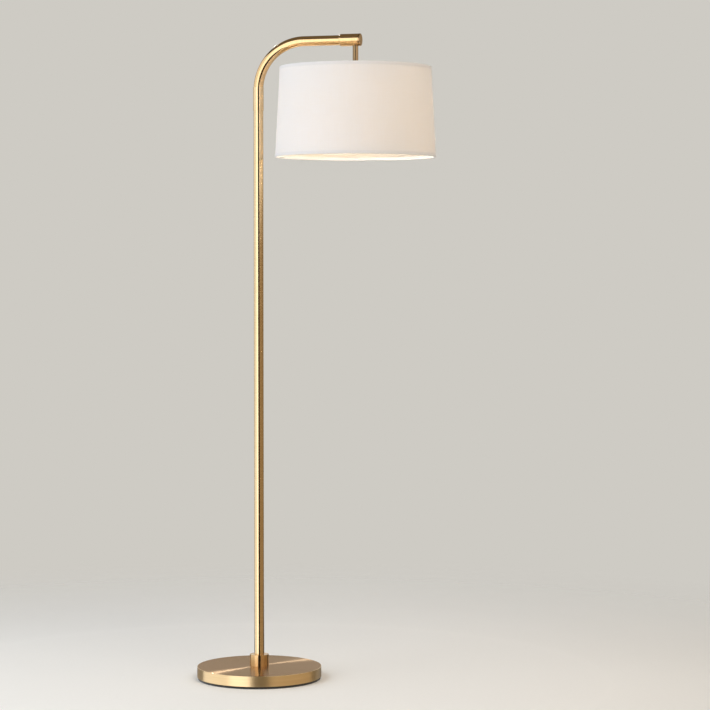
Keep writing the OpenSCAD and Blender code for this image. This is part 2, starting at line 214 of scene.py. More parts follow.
def shell_arrays(shell):
    """Vertices, quads, triangles and their corners' UVs of one carried surface, facing outwards.
    A row of the grid that lies in one point becomes one vertex, and its quads become triangles."""
    points, closed, u, v = shell
    rows, turns = points.shape[:2]
    index = np.arange(rows * turns).reshape(rows, turns)
    poles = np.ptp(points, axis=1).max(axis=1) < 1e-9
    index[poles] = index[poles][:, :1]
    ends = np.arange(rows) if closed else np.arange(rows - 1)
    i, j = (g.ravel() for g in np.meshgrid(ends, np.arange(turns), indexing="ij"))
    ni, nj = (i + 1) % rows, (j + 1) % turns
    quads = np.stack([index[i, j], index[ni, j], index[ni, nj], index[i, nj]], 1)
    corner = np.stack([np.stack([u[j], v[i]], 1), np.stack([u[j], v[i + 1]], 1),
                       np.stack([u[j + 1], v[i + 1]], 1), np.stack([u[j + 1], v[i]], 1)], 1)
    flat = points.reshape(-1, 3)
    first, second, third, fourth = (flat[quads[:, k]] for k in range(4))
    volume = (first * np.cross(second, third)).sum() + (first * np.cross(third, fourth)).sum()
    if volume < 0:
        quads, corner = quads[:, ::-1], corner[:, ::-1]
    whole = (quads != np.roll(quads, 1, axis=1)).all(axis=1)
    halves, half_corner = quads[~whole], corner[~whole]
    keep = np.ones(halves.shape, bool)
    repeated = halves == np.roll(halves, 1, axis=1)
    keep[np.arange(len(halves)), repeated.argmax(axis=1)] = False
    return flat, quads[whole], corner[whole], halves[keep].reshape(-1, 3), half_corner[keep].reshape(-1, 3, 2)


def build(name, shells, finishes, body, replaces=()):
    """One piece from carried surfaces. finishes is one material, or one for each surface."""
    materials = finishes if isinstance(finishes, (list, tuple)) else [finishes] * len(shells)
    kinds = list(dict.fromkeys(materials))
    points, faces, corners, which, offset = [], [], [], [], 0
    for shell, material in zip(shells, materials):
        flat, quads, quad_uv, halves, half_uv = shell_arrays(shell)
        used = np.unique(np.concatenate([quads.ravel(), halves.ravel()]))
        renumber = np.zeros(len(flat), int)
        renumber[used] = np.arange(len(used)) + offset
        points.append(flat[used])
        faces += renumber[quads].tolist() + renumber[halves].tolist()
        corners += [quad_uv.reshape(-1, 2), half_uv.reshape(-1, 2)]
        which.append(np.full(len(quads) + len(halves), kinds.index(material)))
        offset += len(used)
    mesh = bpy.data.meshes.new(name)
    mesh.from_pydata(np.concatenate(points).tolist(), [], faces)
    mesh.uv_layers.new(name=SKIN).data.foreach_set("uv", np.concatenate(corners).astype(np.float32).ravel())
    mesh.polygons.foreach_set("material_index", np.concatenate(which).astype(np.int32))
    mesh.polygons.foreach_set("use_smooth", np.ones(len(faces), bool))
    mesh.update()
    for material in kinds:
        mesh.materials.append(material)
    piece = bpy.data.objects.new(name, mesh)
    bpy.context.scene.collection.objects.link(piece)
    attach(piece, body)
    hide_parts(*replaces)
    return piece


def turned(name, outline, place, around, look, body, node, slot, **how):
    """One piece of one carried surface, which stands for one solid."""
    return build(name, [carried(outline, place, around, **how)], finish(look), body, [node])


def pierce(piece, shells):
    """Cuts solids made of carried surfaces out of a piece, once, and keeps the cut mesh."""
    holes = bpy.data.meshes.new("holes")
    points, faces, offset = [], [], 0
    for shell in shells:
        flat, quads, _, halves, _ = shell_arrays(shell)
        points.append(flat)
        faces += (quads + offset).tolist() + (halves + offset).tolist()
        offset += len(flat)
    holes.from_pydata(np.concatenate(points).tolist(), [], faces)
    cutter = bpy.data.objects.new("holes", holes)
    bpy.context.scene.collection.objects.link(cutter)
    cut = piece.modifiers.new("holes", "BOOLEAN")
    cut.operation, cut.solver, cut.object = "DIFFERENCE", "EXACT", cutter
    cut_mesh = bpy.data.meshes.new_from_object(piece.evaluated_get(bpy.context.evaluated_depsgraph_get()))
    if len(cut_mesh.polygons) < len(piece.data.polygons) // 2:
        raise RuntimeError(f"{piece.name}: the holes were not cut")
    piece.modifiers.clear()
    piece.data = cut_mesh
    bpy.data.objects.remove(cutter)
    return piece


# Materials -------------------------------------------------------------------

class Value:
    """A socket of a material, so that sums on it are written as plain expressions."""

    def __init__(self, paint, socket):
        self.paint, self.socket = paint, socket

    def _sum(self, operation, first, second):
        return self.paint.node("ShaderNodeMath", {"operation": operation}, {0: first, 1: second})

    def __add__(self, other): return self._sum("ADD", self, other)
    def __radd__(self, other): return self._sum("ADD", other, self)
    def __sub__(self, other): return self._sum("SUBTRACT", self, other)
    def __rsub__(self, other): return self._sum("SUBTRACT", other, self)
    def __mul__(self, other): return self._sum("MULTIPLY", self, other)
    def __rmul__(self, other): return self._sum("MULTIPLY", other, self)


class Paint:
    """One material and the calls that add its nodes."""

    def __init__(self, name):
        self.material = bpy.data.materials.new(name)
        self.material.use_nodes = True
        self.tree = self.material.node_tree
        self.tree.nodes.clear()

    def node(self, kind, settings=None, inputs=None, output=0):
        """Adds a node: its settings first, then the values or links of its sockets."""
        made = self.tree.nodes.new(kind)
        for key, value in (settings or {}).items():
            setattr(made, key, value)
        for key, value in (inputs or {}).items():
            if isinstance(value, Value):
                self.tree.links.new(value.socket, made.inputs[key])
            else:
                made.inputs[key].default_value = value
        return Value(self, made.outputs[output]) if made.outputs else None

    def skin(self, across, along):
        """The piece's own UV map, scaled to so many units per metre round it and along it."""
        uv = self.node("ShaderNodeUVMap", {"uv_map": SKIN})
        return self.node("ShaderNodeMapping", inputs={"Vector": uv, "Scale": (across, along, 1)})

    def place(self, scale):
        """The place in the lamp, scaled to so many units per metre."""
        where = self.node("ShaderNodeTexCoord", output="Object")
        return self.node("ShaderNodeMapping", inputs={"Vector": where, "Scale": (scale, scale, scale)})

    def axis(self, vector, name):
        """One axis of a vector: X, Y or Z."""
        return self.node("ShaderNodeSeparateXYZ", inputs={0: vector}, output=name)

    def noise(self, vector, detail=2.0, rough=0.5, flat=False):
        """Noise from 0 to 1 with one cell per unit of the vector."""
        return self.node("ShaderNodeTexNoise", {"noise_dimensions": "2D" if flat else "3D"},
                         {"Vector": vector, "Scale": 1.0, "Detail": detail, "Roughness": rough})

    def limit(self, value, low_in, high_in, low_out=0.0, high_out=1.0):
        """Value mapped from one range to another, and held inside it."""
        return self.node("ShaderNodeMapRange", {"clamp": True}, {
            "Value": value, "From Min": low_in, "From Max": high_in, "To Min": low_out, "To Max": high_out})

    def mix(self, factor, first, second):
        """Colour between two colours."""
        return self.node("ShaderNodeMix", {"data_type": "RGBA"},
                         {0: factor, 6: first if isinstance(first, Value) else (*first, 1),
                          7: second if isinstance(second, Value) else (*second, 1)}, output=2)

    def bump(self, height, deep, strength=1.0):
        """Normal from a height of 0 to 1 that stands for so many metres."""
        return self.node("ShaderNodeBump", inputs={"Strength": strength, "Distance": deep, "Height": height})

    def surface(self, **sockets):
        """The Principled shader. An underscore in a name stands for a space."""
        named = {key.replace("_", " "): value for key, value in sockets.items()}
        return self.node("ShaderNodeBsdfPrincipled", inputs=named)

    def finish(self, shader):
        """Ends the material with its shader."""
        self.node("ShaderNodeOutputMaterial", inputs={"Surface": shader})
        return self.material


FINISHES = {}


def finish(name):
    """The named finish, made the first time that it is asked for."""
    if name not in FINISHES:
        FINISHES[name] = MAKERS[name](name)
    return FINISHES[name]


def looks():
    """The sizes and colours in the sidebar."""
    return bpy.context.scene.lamp_looks


def brushed_gold(name, tint, roughness, lathe=0.0, turn=0.0, line_depth=1.0, coat=0.25, rim=(1, 1, 1)):
    """Brushed and lacquered gold. Fine lines run round the piece, some darker and rougher than others,
    and the lacquer's tone drifts slowly over it. rim tints what it reflects at a glancing angle."""
    p = Paint(name)
    fine = p.noise(p.skin(9, 1500), detail=3, rough=0.6, flat=True)
    broad = p.noise(p.skin(4, 260), detail=2, flat=True)
    drift = p.noise(p.place(7), detail=2)
    lines = fine * 0.6 + broad * 0.4
    tone = p.limit(lines * 0.7 + drift * 0.3, 0.3, 0.7)
    deep = tuple(c * k for c, k in zip(tint, (0.86, 0.82, 0.74)))
    colour = p.mix(tone, deep, tint)
    return p.finish(p.surface(
        Base_Color=colour, Metallic=1.0, IOR=1.5, Specular_Tint=(*rim, 1),
        Roughness=p.limit(fine * 0.6 + drift * 0.4, 0.25, 0.75, roughness - 0.05, roughness + 0.06),
        Anisotropic=lathe, Anisotropic_Rotation=turn, Coat_Weight=coat, Coat_Roughness=0.12,
        Normal=p.bump(lines, looks().line_depth * line_depth, 0.6),
    ))


def bare_metal(name, tint, roughness, lines=0.0):
    """Plated or turned metal: a faint mottle, and tool marks across it."""
    p = Paint(name)
    mottle = p.noise(p.place(220), detail=4, rough=0.6)
    stain = p.noise(p.place(35), detail=2)
    marks = p.node("ShaderNodeTexWave", {"wave_type": "BANDS", "bands_direction": "Z"},
                   {"Vector": p.place(420), "Scale": 1.0, "Distortion": 1.5, "Detail": 2.0})
    colour = p.mix(p.limit(mottle * 0.6 + stain * 0.4, 0.3, 0.7), tuple(0.72 * c for c in tint), tint)
    return p.finish(p.surface(
        Base_Color=colour, Metallic=1.0,
        Roughness=p.limit(mottle, 0.3, 0.7, roughness - 0.08, roughness + 0.1),
        Normal=p.bump(mottle * (1 - lines) + marks * lines, 0.00004, 0.5),
    ))


def cast_iron(name):
    """Sand-cast iron under thin black paint: grainy, with bare specks."""
    p = Paint(name)
    grain = p.noise(p.place(900), detail=4, rough=0.7)
    patch = p.noise(p.place(60), detail=3)
    bare = p.limit(grain * 0.5 + patch * 0.5, 0.56, 0.64)
    return p.finish(p.surface(
        Base_Color=p.mix(bare, (0.018, 0.018, 0.02), (0.13, 0.125, 0.12)), Metallic=bare * 0.8,
        Roughness=p.limit(grain, 0.3, 0.7, 0.5, 0.75), Normal=p.bump(grain, 0.0004, 0.7),
    ))


def black_felt(name):
    """Pressed felt: short fibres that lie every way."""
    p = Paint(name)
    fibre = p.noise(p.place(2600), detail=4, rough=0.75)
    tuft = p.noise(p.place(420), detail=3)
    pile = p.limit(fibre * 0.6 + tuft * 0.4, 0.35, 0.65)
    return p.finish(p.surface(
        Base_Color=p.mix(pile, (0.006, 0.006, 0.006), (0.035, 0.033, 0.031)),
        Roughness=p.limit(tuft, 0.3, 0.7, 0.88, 1.0), Sheen_Weight=0.3, Sheen_Roughness=0.6,
        Normal=p.bump(fibre, 0.0003, 0.8),
    ))


def moulded_plastic(name, dark, light, roughness, grain=1.0):
    """Moulded plastic: spark-eroded grain and a slow change of gloss."""
    p = Paint(name)
    pits = p.noise(p.place(2400), detail=2, rough=0.6)
    flow = p.noise(p.place(60), detail=2)
    return p.finish(p.surface(
        Base_Color=p.mix(p.limit(pits * 0.4 + flow * 0.6, 0.3, 0.7), dark, light),
        Roughness=p.limit(flow * 0.6 + pits * 0.4, 0.3, 0.7, roughness - 0.07, roughness + 0.07),
        Normal=p.bump(pits, 0.00006 * grain, 0.6),
    ))


def white_enamel(name):
    """Powder-coated wire: fine orange peel."""
    p = Paint(name)
    peel = p.noise(p.place(1400), detail=2)
    film = p.noise(p.place(90), detail=2)
    return p.finish(p.surface(
        Base_Color=p.mix(p.limit(film, 0.3, 0.7), (0.78, 0.76, 0.72), (0.86, 0.85, 0.82)),
        Roughness=p.limit(peel, 0.3, 0.7, 0.32, 0.45), Normal=p.bump(peel, 0.00008, 0.5),
    ))


def linen(name, glow_through, tone=1.0):
    """White linen. Warp threads run up the shade and weft threads round it, each over and under the other.
    Long slubs swell single threads and are a little paler."""
    p = Paint(name)
    pitch = looks().thread_pitch
    thread = p.skin(math.pi / pitch, math.pi / pitch)
    u, v = p.axis(thread, "X"), p.axis(thread, "Y")

    def wave(operation, value):
        return p.node("ShaderNodeMath", {"operation": operation}, {0: value})

    across, up = wave("SINE", u), wave("SINE", v)
    over = p.limit(across * up * wave("COSINE", u * 0.5) * wave("COSINE", v * 0.5), -0.05, 0.05)
    threads = over * wave("ABSOLUTE", across) + (1 - over) * wave("ABSOLUTE", up)
    weft = p.noise(p.skin(16, 620), detail=3, rough=0.65, flat=True)
    warp = p.noise(p.skin(760, 11), detail=3, rough=0.65, flat=True)
    slub = p.limit(weft * 0.42 + warp * 0.58, 0.36, 0.7)
    cloud = p.noise(p.place(9), detail=2)
    # tone below 1 darkens the whole cloth; the trims use it as painted shade along the shade's rims
    base = tuple(tone * c for c in looks().linen_colour)
    # The darker colour shows between the threads as painted shade of the weave, and at random with the slubs and
    # a slow cloud
    weave_shade_and_slub_tone = tuple(c * k for c, k in zip(base, (0.955, 0.945, 0.93)))
    colour = p.mix(p.limit(slub * 0.5 + threads * 0.25 + cloud * 0.35, 0.1, 0.85), weave_shade_and_slub_tone, base)
    normal = p.bump(threads * 0.55 + slub * 0.45, 0.00022, 0.7)
    cloth = p.surface(Base_Color=colour, Roughness=p.limit(slub, 0, 1, 0.82, 0.95), Specular_IOR_Level=0.25,
                      Sheen_Weight=0.12, Sheen_Roughness=0.5, Normal=normal)
    through = p.node("ShaderNodeBsdfTranslucent", inputs={"Color": (0.95, 0.87, 0.76, 1), "Normal": normal})
    amount = p.limit(slub, 0, 1, glow_through + 0.04, glow_through - 0.05)
    return p.finish(p.node("ShaderNodeMixShader", inputs={0: amount, 1: cloth, 2: through}))


def lining(name):
    """Styrene lining, milky and faintly ribbed by its rollers."""
    p = Paint(name)
    ribs = p.noise(p.skin(240, 3), detail=2, flat=True)
    haze = p.noise(p.place(30), detail=2)
    milky = p.surface(Base_Color=p.mix(p.limit(haze, 0.3, 0.7), (0.87, 0.84, 0.79), (0.91, 0.89, 0.85)),
                      Roughness=p.limit(ribs, 0.3, 0.7, 0.36, 0.5), Normal=p.bump(ribs, 0.0001, 0.4))
    through = p.node("ShaderNodeBsdfTranslucent", inputs={"Color": (0.96, 0.92, 0.86, 1)})
    amount = p.limit(haze, 0.3, 0.7, 0.57, 0.62)
    return p.finish(p.node("ShaderNodeMixShader", inputs={0: amount, 1: milky, 2: through}))


def opal_glass(name):
    """Frosted bulb glass that glows warm, a little less towards the neck."""
    p = Paint(name)
    frost = p.noise(p.place(1500), detail=2)
    height = p.axis(p.node("ShaderNodeTexCoord", output="Object"), "Z")
    neck = p.limit(height, low("bulb_glass").z + 50 * MM, high("bulb_glass").z)
    warm = p.mix(neck, (1.0, 0.86, 0.69), (0.62, 0.44, 0.27))
    return p.finish(p.surface(
        Base_Color=p.mix(frost, (0.86, 0.85, 0.83), (0.93, 0.92, 0.9)),
        Roughness=p.limit(frost, 0.3, 0.7, 0.3, 0.42),
        Emission_Color=warm, Emission_Strength=looks().bulb_glow, Normal=p.bump(frost, 0.00003, 0.4),
    ))


MAKERS = {
    "tube gold": lambda name: brushed_gold(name, looks().gold, looks().gold_roughness, lathe=0.7, turn=0.25),
    # The arm, knuckle sleeve, hub and socket cap take a deeper, more orange copy of the tube gold: a painted warm
    # reflection
    "arm gold": lambda name: brushed_gold(name, looks().arm_gold_painted_reflection, looks().gold_roughness),
    # The stem is 0.6 of the end cap's dark gold, far darker than the tubes: painted shade for the dark reflection
    # down it
    "stem gold": lambda name: brushed_gold(name, tuple(0.6 * c for c in looks().cap_gold), 0.2, lathe=0.7,
                                           turn=0.25),
    "spun gold": lambda name: brushed_gold(name, looks().gold, 0.34, lathe=0.8, turn=0.25, line_depth=1.5,
                                           coat=0.1),
    # The base cover's flat top takes a darker, paler copy of the gold, with its glancing reflections tinted dull:
    # a painted darker reflection
    "spun gold top": lambda name: brushed_gold(name, looks().base_top_painted_reflection_gold, 0.18, lathe=1.0, turn=0.25, coat=0.0,
                                               rim=(0.62, 0.52, 0.42)),
    "hub gold": lambda name: brushed_gold(name, looks().arm_gold_painted_reflection, 0.2, lathe=0.9, turn=0.25),
    "cap gold": lambda name: brushed_gold(name, looks().cap_gold, 0.24, rim=(0.7, 0.55, 0.38)),
    "zinc": lambda name: bare_metal(name, (0.62, 0.64, 0.66), 0.34),
    "brass": lambda name: bare_metal(name, (0.78, 0.6, 0.3), 0.3, lines=0.5),
    "bulb metal": lambda name: bare_metal(name, (0.72, 0.72, 0.7), 0.26, lines=0.2),
    "cast iron": cast_iron,
    "black felt": black_felt,
    "black plastic": lambda name: moulded_plastic(name, (0.008, 0.008, 0.009), (0.022, 0.021, 0.021), 0.42),
    "sheath": lambda name: moulded_plastic(name, (0.01, 0.01, 0.01), (0.03, 0.03, 0.03), 0.5, grain=2.0),
    "nylon": lambda name: moulded_plastic(name, (0.66, 0.64, 0.6), (0.76, 0.75, 0.72), 0.4),
    "black glass": lambda name: moulded_plastic(name, (0.004, 0.004, 0.006), (0.012, 0.012, 0.014), 0.14,
                                                grain=0.2),
    "white enamel": white_enamel,
    "linen": lambda name: linen(name, looks().fabric_glow),
    # The trims are the same linen made a little darker: painted shade along the rims
    "trim linen": lambda name: linen(name, 0.26, tone=0.93),
    "styrene lining": lining,
    "opal glass": opal_glass,
}


# Settings in the sidebar -----------------------------------------------------

def colour(name, description, default):
    return FloatVectorProperty(name=name, description=description, subtype="COLOR", size=3, default=default,
                               min=0, max=1)


def share(name, description, default, least, most):
    return FloatProperty(name=name, description=description, default=default, min=least, max=most,
                         subtype="FACTOR")


def length(name, description, default, least, most):
    return FloatProperty(name=name, description=description, default=default, min=least, max=most,
                         subtype="DISTANCE", unit="LENGTH")


class LampLooks(bpy.types.PropertyGroup):
    """Sizes and colours that can be changed before the pieces are built."""
    gold: colour("Gold", "Colour of the brushed gold tubes", (0.88, 0.655, 0.39))
    # A deeper, more orange copy of the tube gold for the arm and hub: a painted warm reflection
    arm_gold_painted_reflection: colour("Arm gold", "Colour of the brushed gold arm", (0.86, 0.59, 0.31))
    # Colour of the base cover's flat top only: a darker copy of the gold, a painted darker reflection
    base_top_painted_reflection_gold: colour("Base gold", "Colour of the spun base cover", (0.77, 0.6, 0.44))
    cap_gold: colour("End cap gold", "Colour of the knuckle's end cap", (0.5, 0.33, 0.17))
    linen_colour: colour("Linen", "Colour of the shade's fabric", (0.95, 0.955, 0.985))
    gold_roughness: share("Gold roughness", "How matt the brushed gold is", 0.14, 0.06, 0.6)
    line_depth: length("Brush line depth", "Depth of the brush lines", 0.000005, 0, 0.0002)
    thread_pitch: length("Thread pitch", "Distance between the linen's threads", 0.0007, 0.0003, 0.003)
    fabric_glow: share("Fabric glow", "Share of the light that passes through the linen", 0.34, 0.06, 0.9)
    bulb_glow: FloatProperty(name="Bulb glow", description="Brightness of the bulb", default=40.0, min=0, max=500)
    edge: length("Edge radius", "Radius of the turned pieces' small edges", 0.0003, 0.00005, 0.001)
    turns: IntProperty(name="Steps round", description="Steps round a turned piece", default=128, min=48, max=256)
    room_colour: colour("Room", "Colour of the room behind the lamp", (0.617, 0.597, 0.552))
    light: FloatProperty(name="Light", description="Strength of all the lights", default=1.0, min=0, max=10)


# Operators -------------------------------------------------------------------

class LAMP_OT_camera(bpy.types.Operator):
    """Sets up the camera, low and far, turned a little to the lamp's right"""
    bl_idname = "lamp.camera"
    bl_label = "Camera"

    def execute(self, context):
        camera = bpy.data.cameras.new("camera")
        camera.lens, camera.sensor_width = CAMERA_LENS, 36.0
        camera.clip_start, camera.clip_end = 0.05, 60.0
        eye = bpy.data.objects.new("camera", camera)
        eye.location = CAMERA_AT
        eye.rotation_euler = Euler((math.radians(90 - CAMERA_DROP), 0, math.radians(CAMERA_TURN)))
        context.scene.collection.objects.link(eye)
        context.scene.camera = eye
        return {"FINISHED"}


class LAMP_OT_base(bpy.types.Operator):
    """Builds the spun cover, the felt pad and the cord's bush"""
    bl_idname = "lamp.base"
    bl_label = "Base"

    def execute(self, context):
        edge, turns = looks().edge, looks().turns
        bottom, top = low("base_cover").z, high("base_cover").z
        sheet, hole = 1.2 * MM, 5.3 * MM
        corners = [(hole, top - sheet), (COVER_R - sheet, top - sheet), (COVER_R - sheet, bottom),
                   (COVER_R, bottom), (COVER_R, top), (hole, top)]
        outline = rounded(corners, [0.2 * MM, 0.6 * MM, 0.3 * MM, 0.5 * MM, 1.3 * MM, 0.2 * MM], steps=6)
        cover = turned("base_cover_spun", divided(outline, 12 * MM), upright(), 2 * turns, "spun gold", "stand",
                       "base_cover", "warm_gold")
        # The flat top gets the darker copy of the gold, a painted darker reflection
        cover.data.materials.append(finish("spun gold top"))
        faces = cover.data.polygons
        centres, normals = np.empty(len(faces) * 3), np.empty(len(faces) * 3)
        faces.foreach_get("center", centres)
        faces.foreach_get("normal", normals)
        painted_reflection_top = (centres[2::3] > top - 0.1 * MM) & (normals[2::3] > 0.97)
        faces.foreach_set("material_index", painted_reflection_top.astype(np.int32))
        inlet = middle("cord_inlet")
        bore_r, level = 5.5 * MM, along_y(0, inlet.z)
        bore = np.array(wall(COVER_R - 4 * MM, COVER_R + 4 * MM, 0, bore_r))
        pierce(cover, [carried(bore, level, 40, closed=False)])
        y_in, y_out = low("cord_inlet").y, high("cord_inlet").y
        inner, lip, seat = 4 * MM, 7 * MM, COVER_R + 0.1 * MM
        corners = [(inner, y_in), (bore_r, y_in), (bore_r, seat), (lip, seat), (lip, y_out), (inner, y_out)]
        bush = rounded(corners, [edge, edge, 0, edge, 0.6 * MM, 0.7 * MM])
        turned("cord_bush", bush, level, 48, "black plastic", "stand", "cord_inlet", "black_plastic")
        pad = rounded(wall(low("base_pad").z, high("base_pad").z, 12 * MM, high("base_pad").x), 0.8 * MM)
        turned("floor_pad", divided(pad, 12 * MM), upright(), turns, "black felt", "stand", "base_pad",
               "black_felt")
        return {"FINISHED"}


class LAMP_OT_hub(bpy.types.Operator):
    """Builds the turned hub that holds the pole"""
    bl_idname = "lamp.hub"
    bl_label = "Hub"

    def execute(self, context):
        bottom, top, r = low("hub_collar").z, high("hub_collar").z, high("hub_collar").x
        foot = low("pole_lower").z
        corners = [(NIPPLE_R, bottom), (r, bottom), (r, top), (TUBE_R, top), (TUBE_R, foot), (NIPPLE_R, foot)]
        outline = rounded(corners, [0, 0.5 * MM, 0.9 * MM, 0.5 * MM, 0, 0], steps=6)
        turned("hub_turned", outline, upright(), looks().turns, "hub gold", "stand", "hub_collar", "warm_gold")
        return {"FINISHED"}


class LAMP_OT_pole(bpy.types.Operator):
    """Builds the pole's three tube sections, each with softened ends that leave a fine line at the joints"""
    bl_idname = "lamp.pole"
    bl_label = "Pole"

    def execute(self, context):
        for part in ("lower", "middle", "upper"):
            node = f"pole_{part}"
            corners = wall(low(node).z, high(node).z, TUBE_BORE, TUBE_R)
            outline = rounded(corners, [0.1 * MM, 0.25 * MM, 0.25 * MM, 0.1 * MM], steps=4)
            turned(f"pole_{part}_tube", divided(outline, 60 * MM), upright(), looks().turns, "tube gold",
                   "stand", node, "warm_gold")
        return {"FINISHED"}


class LAMP_OT_arm(bpy.types.Operator):
    """Builds the swivel collar and the bent arm tube"""
    bl_idname = "lamp.arm"
    bl_label = "Arm and swivel"

    def execute(self, context):
        turns = looks().turns
        leg, end = low("arm_tube").z, high("arm_tube").x
        bend_z = ARM_Z - BEND_R
        bottom, top, r = low("swivel_collar").z, high("swivel_collar").z, high("swivel_collar").x
        collar = [(TUBE_R + 0.05 * MM, bottom), (r, bottom), (r, top), (TUBE_R + 0.4 * MM, top),
                  (TUBE_R + 0.4 * MM, bend_z), (TUBE_R, bend_z), (TUBE_R, leg), (TUBE_R + 0.05 * MM, leg)]
        outline = rounded(collar, [0.1 * MM, 0.4 * MM, 0.4 * MM, 0.1 * MM, 0, 0, 0, 0])
        turned("swivel_collar_turned", outline, upright(), turns, "tube gold", "arm", "swivel_collar",
               "warm_gold")
        long = (bend_z - leg) + BEND_R * math.pi / 2 + (end - BEND_R)
        tube = divided(rounded(wall(0, long, TUBE_BORE, TUBE_R), 0.2 * MM, steps=3), 3 * MM)
        turned("arm_bent_tube", tube, arm_line(leg, bend_z, BEND_R), turns, "arm gold", "arm", "arm_tube",
               "warm_gold")
        return {"FINISHED"}


class LAMP_OT_knuckle(bpy.types.Operator):
    """Builds the knuckle's sleeve, with fine rings turned round it over the stem, and its end cap"""
    bl_idname = "lamp.knuckle"
    bl_label = "Knuckle"

    def execute(self, context):
        turns = looks().turns
        start, cap, end = low("knuckle_sleeve").x, high("knuckle_sleeve").x, high("knuckle_end_cap").x
        r = high("knuckle_sleeve").z - ARM_Z
        shoulder = high("tilt_washer").x
        inner, cavity = TUBE_R + 0.05 * MM, 9 * MM
        rings = []
        for x in (STEM_X - 6.5 * MM, STEM_X - 2.5 * MM, STEM_X + 1.5 * MM):
            rings += [(r, x - 0.5 * MM), (r - 0.35 * MM, x), (r, x + 0.5 * MM)]
        corners = [(inner, start), (TUBE_R + 1.2 * MM, start), (r, start + 2.2 * MM), *rings, (r, cap),
                   (cavity, cap), (cavity, shoulder), (inner, shoulder)]
        radii = [0.1 * MM, 0.3 * MM, 0.5 * MM] + [0.15 * MM] * 9 + [0.2 * MM, 0, 0, 0]
        turned("knuckle_sleeve_turned", rounded(corners, radii), along_x(ARM_Z), turns, "arm gold", "head",
               "knuckle_sleeve", "warm_gold")
        back = low("knuckle_end_cap").x
        cap_corners = [(0, back), (cavity, back), (cavity, cap), (r, cap), (r, end), (0, end)]
        outline = rounded(cap_corners, [0, 0.2 * MM, 0, 0.3 * MM, 1.0 * MM, 0], steps=8, closed=False)
        turned("knuckle_cap_turned", divided(outline, 2 * MM, closed=False), along_x(ARM_Z), turns, "cap gold",
               "head", "knuckle_end_cap", "dark_gold", closed=False)
        return {"FINISHED"}


class LAMP_OT_stem(bpy.types.Operator):
    """Builds the stem, the socket's cap and the moulded socket"""
    bl_idname = "lamp.stem"
    bl_label = "Stem and socket"

    def execute(self, context):
        turns, edge = looks().turns, looks().edge
        axis = upright(STEM_X)
        r = high("stem_tube").x - STEM_X
        stem = rounded(wall(low("stem_tube").z, high("stem_tube").z, NIPPLE_R, r), edge)
        # The stem's much darker gold is painted shade
        turned("stem_turned", stem, axis, turns, "stem gold", "head", "stem_tube", "warm_gold")
        bottom, top = low("socket_cap").z, high("socket_cap").z
        r = high("socket_cap").x - STEM_X
        dome = [(NIPPLE_R, top), (9 * MM, top), (15 * MM, top - 3.5 * MM), (r, top - 9 * MM), (r, bottom),
                (r - 1.2 * MM, bottom), (r - 1.2 * MM, top - 8.6 * MM), (14.2 * MM, top - 4.6 * MM),
                (9 * MM, top - 1.8 * MM), (NIPPLE_R, top - 1.8 * MM)]
        radii = np.array([0.2, 2.5, 4, 6, 0.5, 0.2, 4, 3, 2, 0.2]) * MM
        turned("socket_cap_spun", rounded(dome, radii, steps=6), axis, turns, "hub gold", "head", "socket_cap",
               "warm_gold")
        bottom, top = low("socket_body").z, high("socket_body").z
        flange = high("socket_contact").z + 2 * MM
        rim, well = flange + 3 * MM, flange - 8 * MM
        in_mm = [(15.5, top), (18.5, top), (18.5, rim), (22, rim), (22, flange), (19.5, flange), (19.5, bottom),
                 (14.6, bottom), (14.6, well), (4.5, well), (4.5, flange), (15.5, flange)]
        body = [(r_mm * MM, z) for r_mm, z in in_mm]
        radii = np.array([0.2, 0.4, 0.6, 0.6, 0.6, 0.6, 0.8, 0.4, 0.4, 0.3, 0.3, 0.4]) * MM
        turned("socket_moulded", rounded(body, radii), axis, turns, "black plastic", "head", "socket_body",
               "black_plastic")

        def fluted(reach, s, t):
            """The outside shrinks by up to 0.9 mm in twelve round flutes."""
            outside = reach > 20 * MM
            return reach - outside * 0.9 * MM * np.clip(np.cos(12 * t), 0, 1) ** 2

        low_nut, high_nut = low("shade_ring_nut").z, high("shade_ring_nut").z
        nut = rounded(wall(low_nut, high_nut, 19.5 * MM, 25 * MM), 0.6 * MM)
        turned("ring_nut_moulded", nut, axis, 192, "black plastic", "head", "shade_ring_nut", "black_plastic",
               shape=fluted)
        return {"FINISHED"}


class LAMP_OT_switch(bpy.types.Operator):
    """Builds the fluted turn knob"""
    bl_idname = "lamp.switch"
    bl_label = "Switch"

    def execute(self, context):
        y_near, y_far = low("switch_knob").y, high("switch_knob").y
        r, centre = 8 * MM, middle("switch_knob")

        def fluted(reach, s, t):
            """The rim shrinks by up to 0.8 mm in twelve flutes, which fade out on the face."""
            return reach - 0.8 * MM * np.clip(reach / r, 0, 1) ** 6 * np.clip(np.cos(12 * t), 0, 1) ** 2

        corners = [(0, y_near + 0.8 * MM), (4.5 * MM, y_near + 0.8 * MM), (5.5 * MM, y_near), (r, y_near),
                   (r, y_far), (0, y_far)]
        outline = rounded(corners, [0, 1 * MM, 0.6 * MM, 1.2 * MM, 0.4 * MM, 0], steps=6, closed=False)
        turned("switch_knob_fluted", divided(outline, 1.2 * MM, closed=False), along_y(centre.x, centre.z), 144,
               "black plastic", "switch", "switch_knob", "black_plastic", closed=False, shape=fluted)
        return {"FINISHED"}


SHADE_TAPER = (406.4 - 382.6) / 2 / 227  # how much the shade's radius narrows for each metre of height


def shade_r(z):
    """Outside radius of the fabric at height z: a straight cone between its two edges."""
    wide = (high("shade_fabric").x - low("shade_fabric").x) / 2
    return wide - SHADE_TAPER * (z - low("shade_fabric").z)


